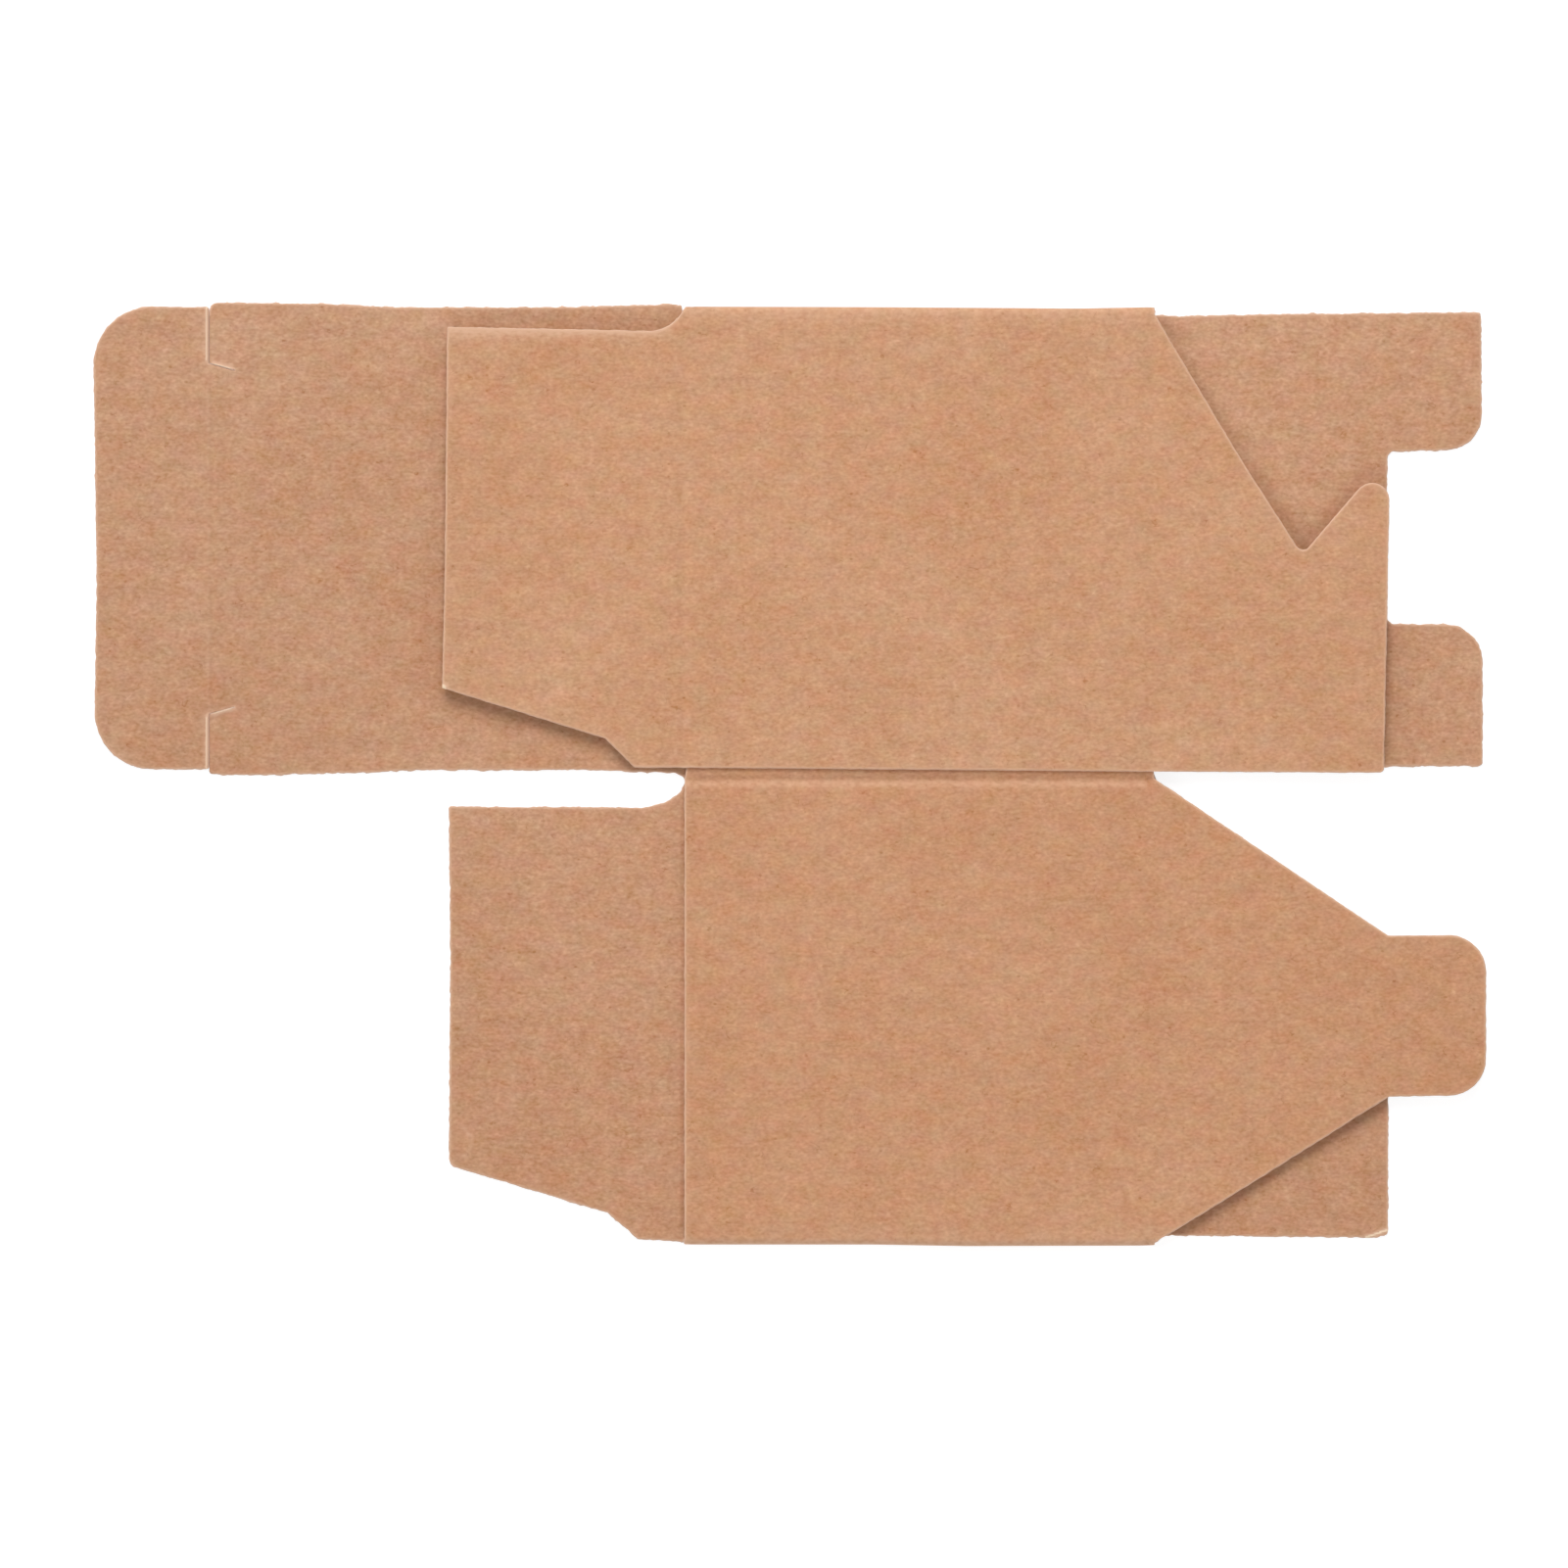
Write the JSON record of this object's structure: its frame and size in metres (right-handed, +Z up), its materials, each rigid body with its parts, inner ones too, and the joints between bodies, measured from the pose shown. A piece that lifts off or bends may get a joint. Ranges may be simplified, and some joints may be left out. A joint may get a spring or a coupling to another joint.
{
  "type": "flat-folded favor box",
  "caption": "Small kraft card favor box pressed flat, with a slit-lock tuck lid, dust flaps and a snap-lock base; its free flaps fold up.",
  "frame": {"origin": "middle of the box's outline, in the plane that it lies on", "axes": "+X from the tuck flap to the tab flap, +Y towards the fold above the glued seam, +Z up from the back panels to the front panels"},
  "size_m": [0.148, 0.1001, 0.0021],
  "materials": {
    "kraft_card": "matt"
  },
  "bodies": {
    "carton": {"folded_carton": "kraft_card"},
    "tuck": {"tuck_flap": "kraft_card"},
    "upper_dust": {"upper_dust_flap": "kraft_card"},
    "lower_dust": {"lower_dust_flap": "kraft_card"},
    "front_hook": {"front_hook_flap": "kraft_card"},
    "tab": {"tab_flap": "kraft_card"}
  },
  "joints": [
    {"name": "tuck_crease", "type": "hinge", "parent": "carton", "child": "tuck", "pos_m": [-0.0617, 0.02525, 0.00045], "axis": [0, 1, 0], "range_deg": [0, 90]},
    {"name": "upper_dust_crease", "type": "hinge", "parent": "carton", "child": "upper_dust", "pos_m": [-0.0111, 0.025, 0.00187], "axis": [0, 1, -0.0092], "range_deg": [0, 90]},
    {"name": "lower_dust_crease", "type": "hinge", "parent": "carton", "child": "lower_dust", "pos_m": [-0.0111, -0.0247, 0.00045], "axis": [0, 1, 0], "range_deg": [0, 90]},
    {"name": "front_hook_crease", "type": "hinge", "parent": "carton", "child": "front_hook", "pos_m": [0.0389, 0.025, 0.00187], "axis": [0, -1, 0.0092], "range_deg": [0, 90]},
    {"name": "tab_crease", "type": "hinge", "parent": "carton", "child": "tab", "pos_m": [0.0389, -0.025, 0.00165], "axis": [0, -1, 0], "range_deg": [0, 90]}
  ]
}
